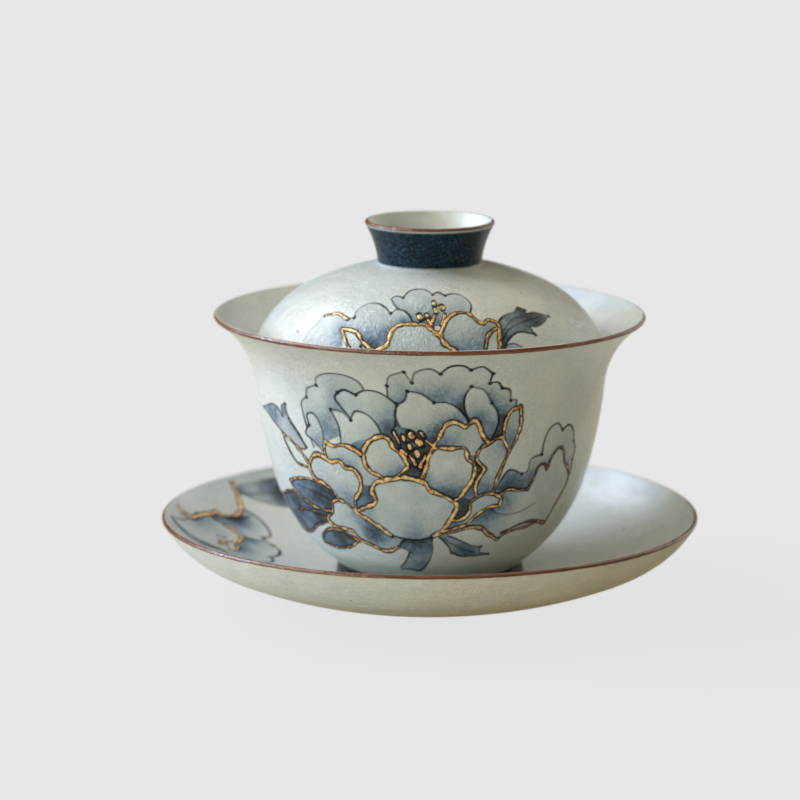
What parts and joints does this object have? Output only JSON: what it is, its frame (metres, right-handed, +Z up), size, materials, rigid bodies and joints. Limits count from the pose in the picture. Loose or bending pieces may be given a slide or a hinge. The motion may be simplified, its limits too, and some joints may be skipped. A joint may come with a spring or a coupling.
{
  "type": "gaiwan",
  "caption": "Lidded tea bowl on a saucer, pale glazed stoneware with a flared mouth, ring knob, iron-brown lips and dark cobalt bands.",
  "frame": {"origin": "centre of the saucer's foot ring, on the plane it stands on", "axes": "+Z up along the common axis of saucer, bowl and lid, +X to the right and -Y towards the painted front"},
  "size_m": [0.1242, 0.1242, 0.0873],
  "materials": {
    "pale_glaze": "semi-gloss",
    "iron_lip": "semi-gloss",
    "cobalt_band": "semi-gloss"
  },
  "bodies": {
    "saucer_body": {"saucer": "pale_glaze", "saucer_lip": "iron_lip"},
    "bowl_body": {"bowl": "pale_glaze", "bowl_lip": "iron_lip", "foot_band": "cobalt_band"},
    "lid_body": {"lid": "pale_glaze", "lid_lip": "iron_lip", "lid_knob": "pale_glaze", "knob_lip": "iron_lip", "knob_band": "cobalt_band"}
  },
  "joints": [
    {"name": "bowl_lift", "type": "slide", "parent": "saucer_body", "child": "bowl_body", "axis": [0, 0, 1], "range_m": [0, 0.06]},
    {"name": "lid_lift", "type": "slide", "parent": "bowl_body", "child": "lid_body", "axis": [0, 0, 1], "range_m": [0, 0.06]}
  ]
}
